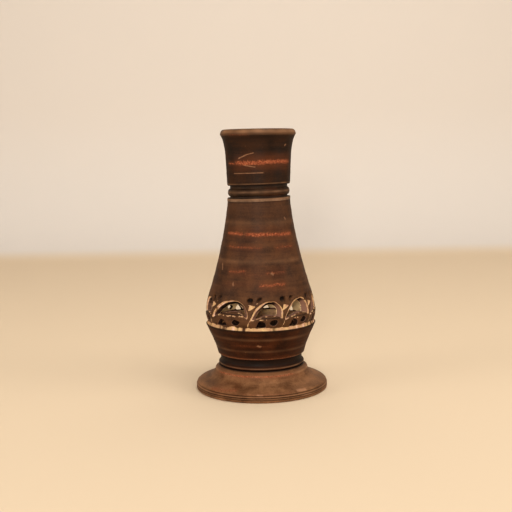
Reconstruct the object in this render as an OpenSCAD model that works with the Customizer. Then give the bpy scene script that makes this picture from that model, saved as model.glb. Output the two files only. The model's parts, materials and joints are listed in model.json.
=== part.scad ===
// Footed clay pot with a pierced vine belt, in the sections that a potter raises one by one.
// The rim of each section is cut to a half lap: its inner half stands up as a spigot, and the
// next section is scored, wetted with slip and set down over it.
// Millimetres, +Z up. The origin is the middle of the face that the pot rests on.

/* [Foot] */
// Radius of the foot at its rounded edge
foot_r = 38.3; // [33:0.1:48]
// Height of the foot, up to the waist
foot_h = 14.4; // [12:0.1:18]
// Height of the upright edge round the foot
foot_edge_h = 2.8; // [2.2:0.1:3.6]
// Width of the flat ring that the foot rests on
foot_land = 5.2; // [3:0.1:7]
// How far the foot's shoulder stands out from the waist
shoulder_out = 2.8; // [1.5:0.1:3.6]
// Height of the sloping shoulder on top of the foot
shoulder_h = 2; // [1:0.1:3]
// Depth of each fine groove turned in the edge of the foot
edge_groove = 0.35; // [0.2:0.05:0.6]

/* [Waist] */
// Radius of the waist
waist_r = 24.1; // [20:0.1:29]
// Height of the waist
waist_h = 6.2; // [5:0.1:9]
// Thickness of the waist's wall
waist_wall = 4.4; // [3.4:0.1:6]
// How far the bead at the bottom of the waist stands out
waist_bead_out = 0.8; // [0.4:0.1:1.4]

/* [Bowl] */
// Height of the bowl
bowl_h = 18; // [14:0.1:24]
// How far the lip under the bowl stands out from the waist
bowl_lip_out = 1.1; // [0.5:0.1:1.6]
// Thickness of the bowl's floor over the waist
floor_t = 3.8; // [2.5:0.1:6]

/* [Belt] */
// Radius of the pot at its belly
belly_r = 32.4; // [30:0.1:40]
// Height of the pierced belt
belt_h = 19.9; // [18:0.1:24]
// Thickness of the belt's wall, and of the laps above and below it
belt_wall = 3.8; // [3:0.1:5]
// How far the wall has come in at the top of the belt
belt_taper = 3.25; // [2:0.05:5]
// Height of the ledge carved along the bottom of the belt
ledge_h = 2.4; // [2.2:0.1:3]
// Depth of the carved ledge
ledge_in = 0.9; // [0.4:0.05:1.2]
// Height of the sill, from the ledge to the low end of the windows
sill_h = 4; // [3.5:0.1:4.6]
// How much higher the sill is at the right end of each window
sill_rise = 1.8; // [0:0.1:2.4]
// Height of the wall left above the windows
crown_h = 3.4; // [3:0.1:4.4]
// Width of the stem between two windows, at its foot
stem_w = 2.6; // [2.2:0.1:3.4]
// Depth of the gouged leaves above the windows
leaf_depth = 1.5; // [0.8:0.1:2]

/* [Cone] */
// Height of the cone
cone_h = 51.1; // [42:0.1:62]

/* [Neck] */
// Radius of the bore through the neck
bore_r = 14; // [11.5:0.1:17]
// Thickness of the wall at the bottom of the neck and the top of the cone
neck_wall = 4; // [3.4:0.1:4.8]
// Height of the collar on top of the cone
collar_h = 2; // [1.6:0.1:3]
// Height of the ring section, with the groove below its bead and the one above
ring_h = 7; // [6:0.1:9]
// Height of the bead
bead_h = 4.3; // [3.5:0.1:5]
// How far the bead stands out of its grooves
bead_out = 1.3; // [0.8:0.1:1.6]
// Height of the lower groove
low_groove_h = 0.9; // [0.5:0.05:1]
// Height of the neck
neck_h = 31.4; // [26:0.1:38]
// How far the lip stands out past the bottom of the neck
lip_out = 3.7; // [2.5:0.1:5]
// Height of the rounded lip
lip_h = 3.3; // [2.6:0.1:4]
// Height of the flare inside the mouth
flare_h = 9.5; // [6:0.1:12]

/* [Joints] */
// Height of the spigots on the body's sections
lap_h = 2; // [1.2:0.1:2.2]
// Height of the spigots on the neck's small sections
neck_lap_h = 1.2; // [0.8:0.1:1.4]
// Thickness of the spigots on the neck's small sections
neck_lap_t = 1.2; // [1:0.1:1.5]
// Gap that the slip fills, beside and above each spigot
slip_gap = 0.15; // [0.1:0.05:0.25]

/* [Hidden] */
$fn = 96;
skin = "#4a3426";
shaded_skin = "#3a281d";
cut_clay = "#8f6a4b";

// Where each section starts
waist_z = foot_h;
bowl_z = waist_z + waist_h;
belt_z = bowl_z + bowl_h;
cone_z = belt_z + belt_h;
collar_z = cone_z + cone_h;
ring_z = collar_z + collar_h;
neck_z = ring_z + ring_h;
top_z = neck_z + neck_h;

// Radii that follow from the driving ones
shoulder_r = waist_r + shoulder_out;
waist_in = waist_r - waist_wall;
waist_lap = waist_r - waist_wall / 2;
bowl_lip_r = waist_r + bowl_lip_out;
bowl_rim_r = belly_r - 0.5;
bowl_in = bowl_rim_r - belt_wall;
bowl_lap = bowl_rim_r - belt_wall / 2;
belt_top_r = belly_r - belt_taper;
belt_in = belt_top_r - belt_wall;
belt_lap = belt_top_r - belt_wall / 2;
neck_r = bore_r + neck_wall;
neck_lap = bore_r + neck_lap_t;
groove_r = neck_r - 1.6;
lip_r = neck_r + lip_out;
floor_z = bowl_z + lap_h + slip_gap + floor_t;

// The vine's ten sprouts, in degrees round from the front. They were spaced by eye, and the odd
// wide gap is where the round closed.
sprouts = [-61, -12, 24, 60, 95, 130, 163, 197, 231, 265];
sill_z = ledge_h + sill_h;
arch_z = belt_h - crown_h;
vee_z = arch_z - 4.3;
// How far the wall leans in beside the leaves
leaf_lean = atan2(belt_taper - 1, belt_h - vee_z);

// A cubic curve from a to d, pulled towards b and c
function curve(a, b, c, d, steps = 10) = [for (i = [0:steps]) let (t = i / steps)
    pow(1 - t, 3) * a + 3 * t * pow(1 - t, 2) * b + 3 * t * t * (1 - t) * c + pow(t, 3) * d];
// An arc about c, from one angle to another
function arc(c, r, from, to, steps = 6) = [for (i = [0:steps]) let (a = from + (to - from) * i / steps)
    c + r * [cos(a), sin(a)]];
// A list without its first point, where the point before it is the same one
function after(points) = [for (i = [1:len(points) - 1]) points[i]];
// A small groove turned in an upright face
function turned_groove(r, z) = [[r, z - edge_groove], [r - edge_groove, z], [r, z + edge_groove]];

// The lap on top of a section, from its outside face inwards
function spigot(z, lap, inner, h) = [[lap, z], [lap, z + h], [inner, z + h]];
// The lap under a section, from its bore outwards
function socket(z, lap, inner, h) = [
    [inner, z + h + slip_gap],
    [lap + slip_gap, z + h + slip_gap],
    [lap + slip_gap, z]];

module turned(outline) rotate_extrude() polygon(outline);

module foot() {
    round_r = 1.4;
    shoulder_z = foot_h - shoulder_h;
    sweep = 3.6;
    groove_z = (foot_edge_h + round_r) / 2;
    hollow_r = foot_r - round_r - foot_land;
    color(skin) turned(concat(
        [[hollow_r, 0]],
        arc([foot_r - round_r, round_r], round_r, -90, 0),
        turned_groove(foot_r, groove_z),
        curve([foot_r, foot_edge_h], [foot_r - 0.4, foot_edge_h + sweep],
              [shoulder_r + 0.7, foot_edge_h + sweep], [shoulder_r, shoulder_z]),
        [[waist_r + 0.6, foot_h]],
        spigot(foot_h, waist_lap, waist_in, lap_h),
        curve([waist_in, shoulder_z - 1], [waist_in, shoulder_z - 5],
              [hollow_r - 2, foot_edge_h + 1.6], [hollow_r - 0.8, 1.2])));
}

module waist() {
    z = waist_z;
    bead = waist_r + waist_bead_out;
    color(shaded_skin) turned(concat(
        [[waist_r, z], [waist_r, z + 0.6], [bead, z + 1], [bead, z + 1.3], [waist_r, z + 2.1]],
        [[waist_r - 0.1, bowl_z]],
        spigot(bowl_z, waist_lap, waist_in, lap_h),
        socket(z, waist_lap, waist_in, lap_h)));
}

module lower_bowl() {
    lip_z = bowl_z + 0.9;
    color(skin) turned(concat(
        [[0, bowl_z + lap_h + slip_gap],
         [waist_lap + slip_gap, bowl_z + lap_h + slip_gap],
         [waist_lap + slip_gap, bowl_z],
         [waist_r - 0.1, bowl_z],
         [bowl_lip_r - 0.3, lip_z - 0.2]],
        curve([bowl_lip_r, lip_z], [bowl_lip_r + 1, lip_z + 4.5],
              [bowl_rim_r - 2.3, belt_z - 5.1], [bowl_rim_r, belt_z]),
        spigot(belt_z, bowl_lap, bowl_in, lap_h),
        curve([bowl_in, belt_z - 1], [bowl_in - 3.4, belt_z - 8],
              [waist_in, floor_z + 0.6], [waist_in - 6, floor_z]),
        [[0, floor_z]]));
}

// A window's outline between two sprouts that are w apart. A long edge rises to the right from
// the stem, goes over the crown and drops steeply to the sill.
function window(w) =
    let (tail = [0.6, sill_z + 0.6],
         crown = [0.68 * w, arch_z],
         heel = [w - stem_w + 0.4, sill_z + sill_rise])
    concat([[1.8, sill_z]],
           [heel],
           after(curve(heel, [w - 0.3, arch_z - 4], [w - 2.4, arch_z], crown, 8)),
           after(curve(crown, [0.68 * w - 4, arch_z], [5.4, arch_z - 4], tail, 8)));

// A leaf from its root to its tip, fullest past the middle
function leaf(root, tip, half_w) =
    let (run = tip - root, side = [run[1], -run[0]] / norm(run))
    concat([for (t = [0:0.2:0.8]) root + run * t + side * half_w * sin(180 * pow(t, 1.3))],
           [for (t = [1:-0.2:0.2]) root + run * t - side * half_w * sin(180 * pow(t, 1.3))]);

// Bends a flat outline round the belly: x becomes the arc's length from middle
function round_belly(points, middle) = [for (p = points)
    [belly_r * sin((p[0] - middle) / belly_r * 180 / PI), p[1]]];

// Cuts an outline through the belt, square to the wall at the given angle, from radius inner outwards
module carve(outline, middle, at, inner)
    rotate([0, 0, at + middle / belly_r * 180 / PI - 90]) translate([inner, 0, belt_z])
        rotate([90, 0, 90]) linear_extrude(belly_r + 2 - inner) polygon(round_belly(outline, middle));

// Gouges an outline into the wall's face above a sprout, no deeper than leaf_depth
module gouge(outline, at)
    rotate([0, 0, at - 90]) translate([belly_r - 1 - leaf_depth, 0, belt_z + vee_z])
        rotate([0, -leaf_lean, 0]) rotate([90, 0, 90]) linear_extrude(leaf_depth + 3) polygon(outline);

module window_and_leaves(i) {
    count = len(sprouts);
    here = sprouts[i];
    next = sprouts[(i + 1) % count] + (i + 1 == count ? 360 : 0);
    w = (next - here) * PI / 180 * belly_r;
    low = ledge_h + 0.35;
    leaf_h = belt_h - vee_z - 1;
    carve(window(w), w / 2, here, belly_r / 2);
    // the pair of pierced leaves under the window
    carve(leaf([w / 2 - 1, low + 1.1], [w / 2 - 7, low + 1.3], 1.15), w / 2, here, belly_r / 2);
    carve(leaf([w / 2 + 1.2, low + 1.2], [w / 2 + 6, low + 2.2], 1.15), w / 2, here, belly_r / 2);
    // the pair of gouged leaves in the vee between two windows, the left one broad, the right one slim
    gouge(leaf([0.6, 1.8], [0.8, leaf_h], 1.6), here);
    gouge(leaf([3.1, 2], [6.4, leaf_h], 1.1), here);
}

module pierced_belt() {
    z = belt_z;
    color(cut_clay) difference() {
        turned(concat(
            [[bowl_rim_r, z], [bowl_rim_r - ledge_in, z + 0.5]],
            curve([bowl_rim_r - ledge_in + 0.2, z + ledge_h], [belly_r + 0.5, z + ledge_h + 3.5],
                  [belt_top_r + 2.75, cone_z - 8.3], [belt_top_r, cone_z]),
            spigot(cone_z, belt_lap, belt_in, lap_h),
            curve([belt_in + 0.3, cone_z - 1], [belt_in + 2.6, cone_z - 8],
                  [bowl_in + 0.6, z + ledge_h + 5], [bowl_in, z + lap_h + slip_gap + 0.6]),
            socket(z, bowl_lap, bowl_in, lap_h)));
        for (i = [0:len(sprouts) - 1]) window_and_leaves(i);
    }
}

module upper_cone() {
    z = cone_z;
    color(skin) turned(concat(
        curve([belt_top_r, z], [belt_top_r - 4.55, z + 0.27 * cone_h],
              [neck_r + 1, collar_z - 0.27 * cone_h], [neck_r, collar_z], 14),
        spigot(collar_z, neck_lap, bore_r, neck_lap_h),
        curve([bore_r, collar_z - 1], [bore_r + 1, collar_z - 0.27 * cone_h],
              [belt_in - 4.4, z + 0.27 * cone_h], [belt_in, z + lap_h + slip_gap + 0.6], 14),
        socket(z, belt_lap, belt_in, lap_h)));
}

module collar() {
    z = collar_z;
    color(shaded_skin) turned(concat(
        [[neck_r, z], [neck_r + 0.1, z + 0.3], [neck_r + 0.1, ring_z - 0.4], [neck_r - 0.3, ring_z]],
        spigot(ring_z, neck_lap, bore_r, neck_lap_h),
        socket(z, neck_lap, bore_r, neck_lap_h)));
}

module neck_ring() {
    z = ring_z;
    bead_z = z + low_groove_h + bead_h / 2;
    bead = [for (p = arc([0, 0], 1, -90, 90, 10)) [groove_r + bead_out * p[0], bead_z + bead_h / 2 * p[1]]];
    color(shaded_skin) turned(concat(
        [[groove_r, z]],
        bead,
        [[groove_r, neck_z]],
        spigot(neck_z, neck_lap, bore_r, neck_lap_h),
        socket(z, neck_lap, bore_r, neck_lap_h)));
}

module neck() {
    z = neck_z;
    lip_z = top_z - lip_h;
    lip = [for (p = arc([0, 0], 1, 0, 90, 8)) [lip_r - 2.1 + 2.1 * p[0], lip_z + 0.3 + (lip_h - 0.3) * p[1]]];
    color(skin) turned(concat(
        [[neck_r - 0.3, z]],
        curve([neck_r, z + 0.4], [neck_r + 0.9, z + 10.4],
              [neck_r - 0.1, lip_z - 6.2], [lip_r - 0.15, lip_z - 0.3]),
        lip,
        [[bore_r + 4.6, top_z - 0.2]],
        curve([bore_r + 3.6, top_z - 1], [bore_r + 2.2, top_z - 3.4],
              [bore_r, top_z - flare_h + 3], [bore_r, top_z - flare_h]),
        socket(z, neck_lap, bore_r, neck_lap_h)));
}

foot();
waist();
lower_bowl();
pierced_belt();
upper_cone();
collar();
neck_ring();
neck();
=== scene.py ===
# %% [markdown]
# # A footed clay pot with a pierced vine belt
# A potter turns this pot in short sections, lets them dry until they are leather hard, and joins
# them with slip. The belt is then cut through with a knife, and the whole pot is rubbed with a
# smooth stone until its dark skin shines. We follow the same order: turn each section, carve the
# belt, then finish the skin, and last of all light the pot on a pale cloth-coloured table.
# The frame holds the sections' real sizes, and every piece made here takes one section's place.

# %% Load the frame
import json
import math
import bpy
import bmesh
from mathutils import Matrix, Vector, noise

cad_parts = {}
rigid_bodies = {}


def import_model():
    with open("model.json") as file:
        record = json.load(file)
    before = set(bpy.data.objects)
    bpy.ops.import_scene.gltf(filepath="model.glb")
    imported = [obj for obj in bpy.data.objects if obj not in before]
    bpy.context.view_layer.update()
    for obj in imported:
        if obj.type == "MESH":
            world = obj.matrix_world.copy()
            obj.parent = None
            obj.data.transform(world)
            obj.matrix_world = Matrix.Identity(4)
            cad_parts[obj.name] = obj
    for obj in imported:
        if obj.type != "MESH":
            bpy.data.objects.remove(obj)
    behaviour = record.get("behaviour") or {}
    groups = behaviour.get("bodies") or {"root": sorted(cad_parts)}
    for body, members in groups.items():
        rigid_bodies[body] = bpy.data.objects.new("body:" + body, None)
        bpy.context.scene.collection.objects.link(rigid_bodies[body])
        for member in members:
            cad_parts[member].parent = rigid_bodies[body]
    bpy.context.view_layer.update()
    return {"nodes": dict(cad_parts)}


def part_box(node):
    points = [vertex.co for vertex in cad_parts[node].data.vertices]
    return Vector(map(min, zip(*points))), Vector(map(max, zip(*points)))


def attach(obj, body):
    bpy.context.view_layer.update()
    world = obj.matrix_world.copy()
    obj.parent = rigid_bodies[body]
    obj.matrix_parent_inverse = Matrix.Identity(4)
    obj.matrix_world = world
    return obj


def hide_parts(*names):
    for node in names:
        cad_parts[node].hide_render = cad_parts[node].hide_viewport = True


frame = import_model()
MM = 0.001
print("frame:", ", ".join(sorted(frame["nodes"])))

# %% [markdown]
# ## Where each section starts and ends
# The sections' heights are read from the frame's own solids, so that nothing has to be measured
# twice. A section's top in the frame is the top of its spigot, the thin inner half of the lap
# joint, so a seat is found from the section above it, which starts exactly on the seat.

# %% Seats and radii
def bottom_of(node):
    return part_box(node)[0][2] / MM


def top_of(node):
    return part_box(node)[1][2] / MM


def radius_of(node):
    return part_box(node)[1][0] / MM


ORDER = ["foot", "waist", "lower_bowl", "pierced_belt", "upper_cone", "collar", "neck_ring", "neck"]
SEAT = {name: bottom_of(name) for name in ORDER}
TOP = top_of("neck")
FOOT_R = radius_of("foot")
BELLY_R = 32.4
WAIST_R = 24.1
BORE_R = 14.0
NECK_R = 18.0
LIP_R = radius_of("neck")
BOWL_RIM_R = BELLY_R - 0.5
BELT_TOP_R = radius_of("upper_cone")
WALL = 3.8
LAP = 2.0
NECK_LAP = 1.2
SLIP = 0.15
for name in ORDER:
    print(f"{name} stands on its seat at {SEAT[name]:.1f} mm")

# %% [markdown]
# ## The potter's profile gauge
# A potter checks a section's outside with a gauge cut to the wanted curve. Our gauge is a cubic
# curve between two points, pulled towards two others. It is sampled every half millimetre, because
# the rubbed rings and scratches are painted on the points of the mesh later on.

# %% Curves
def curve(a, b, c, d, steps=24):
    points = []
    for i in range(steps + 1):
        t = i / steps
        u = 1 - t
        points.append(tuple(u**3 * p + 3 * t * u * u * q + 3 * t * t * u * r + t**3 * s
                            for p, q, r, s in zip(a, b, c, d)))
    return points


def arc(center, radius, start, end, steps=8):
    angles = [math.radians(start + (end - start) * i / steps) for i in range(steps + 1)]
    return [(center[0] + radius * math.cos(a), center[1] + radius * math.sin(a)) for a in angles]


def finer(points, step):
    """The same outline with no stretch longer than step."""
    result = []
    for (r0, z0), (r1, z1) in zip(points, points[1:]):
        count = max(1, math.ceil(math.dist((r0, z0), (r1, z1)) / step))
        result += [(r0 + (r1 - r0) * i / count, z0 + (z1 - z0) * i / count) for i in range(count)]
    return result + [points[-1]]


def throwing_ridge(z):
    """How far the fingers left the wall proud or shy at this height."""
    broad = noise.noise(Vector((3.1, 0.0, z * 0.21)))
    narrow = noise.noise(Vector((7.7, 0.0, z * 0.8)))
    return 0.16 * broad + 0.07 * narrow


# %% [markdown]
# ## Turning a section
# A turned section is one closed outline swept once round the axis. The outline begins as a circle
# of points, which is the plainest closed loop there is, and each point is set on the section's
# profile. Spin then does the wheel's work. Where the two ends of the sweep meet there are double
# points, so they are merged, and the normals are made to point outwards.

# %% The wheel
def nothing_selected():
    if bpy.context.object and bpy.context.object.mode != "OBJECT":
        bpy.ops.object.mode_set(mode="OBJECT")
    bpy.ops.object.select_all(action="DESELECT")


def turn(name, outline, around=288):
    nothing_selected()
    bpy.ops.mesh.primitive_circle_add(vertices=len(outline), radius=1)
    piece = bpy.context.object
    piece.name = name
    bpy.ops.object.mode_set(mode="EDIT")
    mesh = bmesh.from_edit_mesh(piece.data)
    for point, (r, z) in zip(mesh.verts, outline):
        point.co = (0, -r * MM, z * MM)
    bmesh.update_edit_mesh(piece.data)
    bpy.ops.mesh.select_all(action="SELECT")
    bpy.ops.mesh.spin(steps=around, angle=math.tau, center=(0, 0, 0), axis=(0, 0, 1))
    bpy.ops.mesh.select_all(action="SELECT")
    bpy.ops.mesh.remove_doubles(threshold=0.000002)
    bpy.ops.mesh.normals_make_consistent(inside=False)
    bpy.ops.object.mode_set(mode="OBJECT")
    print(f"turned {name}: {len(piece.data.vertices)} points")
    return piece


def lap_up(z, lap_r, inner_r, height):
    """The spigot on top of a section, from the seat inwards."""
    return [(lap_r, z), (lap_r, z + height), (inner_r, z + height)]


def lap_down(z, lap_r, inner_r, height):
    """The socket under a section, from the bore outwards. The slip fills the gap."""
    return [(inner_r, z + height + SLIP), (lap_r + SLIP, z + height + SLIP), (lap_r + SLIP, z)]


def with_ridges(points, keep=1.2):
    """The outside of a wall with its throwing ridges, which fade towards both seats."""
    low, high = points[0][1], points[-1][1]
    fade = lambda z: min(1, (z - low) / keep, (high - z) / keep)
    return [(r + throwing_ridge(z) * max(0, fade(z)), z) for r, z in points]


# %% [markdown]
# ## Foot
# The foot is a shallow bell, turned upside down on the wheel. Its edge carries three fine grooves
# from a pointed stick. It stands on a flat ring, and it is hollow underneath, so that it dries
# as fast as the thin walls do and doesn't crack.

# %% Turn the foot
def edge_groove(r, z, depth=0.3, half=0.35):
    return [(r, z - half), (r - depth, z), (r, z + half)]


waist_in = WAIST_R - 4.4
waist_lap = WAIST_R - 2.2
foot_top = SEAT["waist"]
hollow_r = FOOT_R - 1.4 - 5.2
shoulder_r = WAIST_R + 2.8
shoulder_z = foot_top - 2
foot_outside = (
    [(hollow_r, 0), (FOOT_R - 1.7, 0)]
    + arc((FOOT_R - 1.2, 1.2), 1.2, -75, -8, 6)
    + edge_groove(FOOT_R - 0.05, 1.65, 0.35, 0.3)
    + edge_groove(FOOT_R, 2.75, 0.4, 0.32)
    + [(FOOT_R - 0.15, 3.35)]
    + edge_groove(FOOT_R - 0.5, 3.95, 0.35, 0.3)[1:]
    + curve((FOOT_R - 0.75, 4.45), (FOOT_R - 2.4, 6.5), (shoulder_r + 1.4, 6.7),
            (shoulder_r + 0.1, shoulder_z - 0.9))
    + [(shoulder_r + 0.05, shoulder_z - 0.3), (shoulder_r - 0.25, shoulder_z + 0.25)]
    + [(WAIST_R + 1.4, foot_top - 1.1), (WAIST_R + 0.5, foot_top)])
foot_inside = curve((waist_in, shoulder_z - 1), (waist_in, shoulder_z - 5),
                    (hollow_r - 2, 4.4), (hollow_r - 0.8, 1.2), 12)
foot = turn("foot_shell", finer(foot_outside, 0.5)
            + lap_up(foot_top, waist_lap, waist_in, LAP) + foot_inside)

# %% [markdown]
# ## Waist
# The waist is a short collar with one soft bead. It sits in shadow under the bowl.

# %% Turn the waist
z = SEAT["waist"]
bowl_z = SEAT["lower_bowl"]
waist_outside = (
    [(WAIST_R + 0.05, z), (WAIST_R + 0.3, z + 0.5)]
    + arc((WAIST_R - 0.05, z + 1.35), 0.9, -55, 60, 8)
    + curve((WAIST_R + 0.1, z + 2.4), (WAIST_R - 0.55, z + 3.2), (WAIST_R - 0.6, bowl_z - 1.6),
            (WAIST_R - 0.1, bowl_z), 12))
waist = turn("waist_shell", finer(waist_outside, 0.5)
             + lap_up(bowl_z, waist_lap, waist_in, LAP)
             + lap_down(z, waist_lap, waist_in, LAP))

# %% [markdown]
# ## Bowl
# The bowl closes the pot's inside with a floor. Under it runs a sharp lip that the tool left when
# it undercut the bowl. Its rim carries the spigot for the belt.

# %% Turn the bowl
belt_z = SEAT["pierced_belt"]
lip_z = bowl_z + 0.9
bowl_in = BOWL_RIM_R - WALL
bowl_lap = BOWL_RIM_R - WALL / 2
floor_z = bowl_z + LAP + SLIP + 3.8
bowl_curve = curve((WAIST_R + 1.15, lip_z + 0.1), (WAIST_R + 2.1, lip_z + 4.5),
                   (BOWL_RIM_R - 2.3, belt_z - 5.1), (BOWL_RIM_R, belt_z), 40)
bowl_outside = (
    [(WAIST_R - 0.1, bowl_z), (WAIST_R + 0.75, lip_z - 0.3), (WAIST_R + 1.1, lip_z - 0.1)]
    + with_ridges(bowl_curve))
bowl_inside = curve((bowl_in, belt_z - 1), (bowl_in - 3.4, belt_z - 8),
                    (waist_in, floor_z + 0.6), (waist_in - 6, floor_z), 20)
bowl = turn("bowl_shell", [(0, bowl_z + LAP + SLIP), (waist_lap + SLIP, bowl_z + LAP + SLIP),
                           (waist_lap + SLIP, bowl_z)]
            + finer(bowl_outside, 0.5) + lap_up(belt_z, bowl_lap, bowl_in, LAP)
            + finer(bowl_inside, 1.2) + [(0, floor_z)])

# %% [markdown]
# ## Belt, before it is carved
# The belt starts as a plain ring with a ledge cut back along its bottom. It is turned to its full
# thickness everywhere, because the knife only ever takes clay away.

# %% Turn the belt's blank
cone_z = SEAT["upper_cone"]
ledge_top = belt_z + 2.4
belt_in = BELT_TOP_R - WALL
belt_lap = BELT_TOP_R - WALL / 2
belt_curve = curve((BOWL_RIM_R - 0.7, ledge_top), (BELLY_R + 0.5, ledge_top + 3.5),
                   (BELT_TOP_R + 2.75, cone_z - 8.3), (BELT_TOP_R, cone_z), 48)
belt_outside = [(BOWL_RIM_R - 0.05, belt_z), (BOWL_RIM_R - 0.45, belt_z + 0.35),
                (BOWL_RIM_R - 0.9, belt_z + 1.3)] + belt_curve
belt_inside = curve((belt_in + 0.3, cone_z - 1), (belt_in + 2.6, cone_z - 8),
                    (bowl_in + 0.6, ledge_top + 5), (bowl_in, belt_z + LAP + SLIP + 0.6), 24)
belt = turn("belt_shell", finer(belt_outside, 0.6)
            + lap_up(cone_z, belt_lap, belt_in, LAP) + belt_inside
            + lap_down(belt_z, bowl_lap, bowl_in, LAP))


def belt_radius(height):
    """The belt's outside radius at a height over its seat, in mm."""
    z = belt_z + height
    if z >= cone_z:
        return BELT_TOP_R - (z - cone_z) * 0.33
    for (r0, z0), (r1, z1) in zip(belt_outside, belt_outside[1:]):
        if z0 <= z <= z1:
            return r0 + (r1 - r0) * (z - z0) / max(z1 - z0, 0.001)
    return BOWL_RIM_R


# %% [markdown]
# ## The knife's outlines
# Ten sprouts rise from the ledge. They were spaced by eye, so the gaps differ. Between two sprouts
# the knife cut one window: a tail that climbs to the right, a round crown, and a steep drop back to
# the sill. The knife was held at a slant, so a window is a funnel: wide in the skin, narrower
# inside the wall. Three outlines describe it, and each is three cubic curves that share their
# corners.

# %% Outlines, in mm along the belly and mm over the seat
SPROUTS = [-61, -12, 24, 60, 95, 130, 163, 197, 231, 265]


def loop(*stretches):
    points = []
    for a, b, c, d, steps in stretches:
        points += curve(a, b, c, d, steps)[:-1]
    return points


def sill_lift(w):
    """A wide window was given a higher sill, so that the belt stays strong there."""
    return 0.32 * (w - 20)


def window_in_skin(w):
    up = sill_lift(w)
    tail, crown, heel = (0.1, 5.6), (0.68 * w, 17.25), (w - 1.0, 6.4)
    return loop((tail, (1.2 + 0.1 * w, 13.6), (0.28 * w, 17.1), crown, 16),
                (crown, (0.68 * w + 3.6, 17.3), (w + 1.0, 13.2), heel, 14),
                (heel, (w - 3, 9.6 + up), (0.42 * w, 9.2 + up), tail, 12))


def window_in_wall(w):
    up = sill_lift(w)
    tail, crown, heel = (0.9, 6.1), (0.68 * w, 16.6), (w - 1.6, 6.8)
    return loop((tail, (0.4 + 0.17 * w, 11.7), (0.40 * w, 16.6), crown, 16),
                (crown, (0.68 * w + 3.5, 16.6), (w + 0.5, 13.1), heel, 14),
                (heel, (w - 3, 10.0 + up), (0.42 * w, 9.6 + up), tail, 12))


def window_inside(w):
    up = sill_lift(w)
    tail, crown, heel = (3.4, 7.0), (0.64 * w, 14.4), (w - 4.6, 8.6)
    return loop((tail, (5.6, 10.2), (0.44 * w, 14.4), crown, 16),
                (crown, (0.64 * w + 2.6, 14.2), (w - 3.2, 12), heel, 14),
                (heel, (w - 6, 9.8 + up), (0.42 * w, 9.4 + up), tail, 12))


def dome(w):
    x, k = 0.32 * w, w / 20
    return loop(((x - 3.3 * k, 2.2), (x - 1.8 * k, 3.6), (x - 1.1 * k, 6.2), (x + 0.3, 6.2), 8),
                ((x + 0.3, 6.2), (x + 2.3 * k, 6.1), (x + 3.1 * k, 4.4), (x + 3.1 * k, 2.6), 8),
                ((x + 3.1 * k, 2.6), (x + 1.0, 2.1), (x - 1.4, 2.0), (x - 3.3 * k, 2.2), 8))


def lens(w):
    x = 0.70 * w
    return loop(((x - 2.8, 4.4), (x - 1.4, 7.2), (x + 1.2, 7.3), (x + 2.9, 5.3), 12),
                ((x + 2.9, 5.3), (x + 1.5, 3.0), (x - 1.2, 2.6), (x - 2.8, 4.4), 12))


def broad_leaf(w):
    return loop(((0.6, 14.0), (-0.8, 15.4), (-2.6, 17.0), (-1.6, 18.1), 8),
                ((-1.6, 18.1), (-0.4, 19.1), (1.6, 19.3), (2.1, 18.2), 8),
                ((2.1, 18.2), (2.5, 17.0), (1.5, 15.4), (0.6, 14.0), 8))


def slim_leaf(w):
    return loop(((3.9, 14.6), (3.7, 16.4), (4.4, 18.7), (6.1, 19.3), 8),
                ((6.1, 19.3), (7.6, 19.5), (8.4, 18.7), (7.6, 18.0), 8),
                ((7.6, 18.0), (6.0, 17.2), (4.8, 16.0), (3.9, 14.6), 8))


def notch(w):
    return loop(((-1.3, 11.0), (-0.7, 12.4), (0.2, 14.0), (0.8, 15.8), 8),
                ((0.8, 15.8), (1.4, 14.6), (2.6, 14.0), (4.4, 14.3), 8),
                ((4.4, 14.3), (2.6, 12.9), (0.6, 11.6), (-1.3, 11.0), 8))


# %% [markdown]
# ## The knife itself
# Each cut is a tube that narrows from outside the skin to where the knife stopped. A grid is the
# handiest primitive for it: its rows become the tube's rings, and its two long sides are merged
# into one seam. The ends are closed, so that a boolean can take the tube's space out of the ring.

# %% Make a cutter
def on_belt(x, height, depth, sprout):
    """A point at x mm along the belly from a sprout, that deep under the skin."""
    angle = math.radians(sprout) + x / BELLY_R
    r = (belt_radius(height) - depth) * MM
    return Vector((r * math.sin(angle), -r * math.cos(angle), (belt_z + height) * MM))


def cutter(rings, sprout):
    """rings holds (outline, depth) pairs; depth is a number or a function of the height."""
    count = len(rings[0][0])
    bpy.ops.mesh.primitive_grid_add(x_subdivisions=count, y_subdivisions=len(rings) - 1, size=1)
    tool = bpy.context.object
    bpy.ops.object.mode_set(mode="EDIT")
    mesh = bmesh.from_edit_mesh(tool.data)
    mesh.verts.ensure_lookup_table()
    for row, (outline, depth) in enumerate(rings):
        for i in range(count + 1):
            x, height = outline[i % count]
            deep = depth(height) if callable(depth) else depth
            mesh.verts[row * (count + 1) + i].co = on_belt(x, height, deep, sprout)
    bmesh.update_edit_mesh(tool.data)
    bpy.ops.mesh.select_all(action="SELECT")
    bpy.ops.mesh.remove_doubles(threshold=0.000002)
    bpy.ops.mesh.fill_holes(sides=0)
    bpy.ops.mesh.quads_convert_to_tris()
    bpy.ops.mesh.normals_make_consistent(inside=False)
    bpy.ops.object.mode_set(mode="OBJECT")
    return tool


def shrunk(outline, factor, lift=0.0):
    cx = sum(x for x, _ in outline) / len(outline)
    cz = sum(h for _, h in outline) / len(outline)
    return [(cx + (x - cx) * factor, cz + (h - cz) * factor + lift) for x, h in outline]


def shifted(outer, inner, amount):
    """Part of the way from one outline to another, or past it."""
    return [(a + (c - a) * amount, b + (d - b) * amount) for (a, b), (c, d) in zip(outer, inner)]


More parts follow.
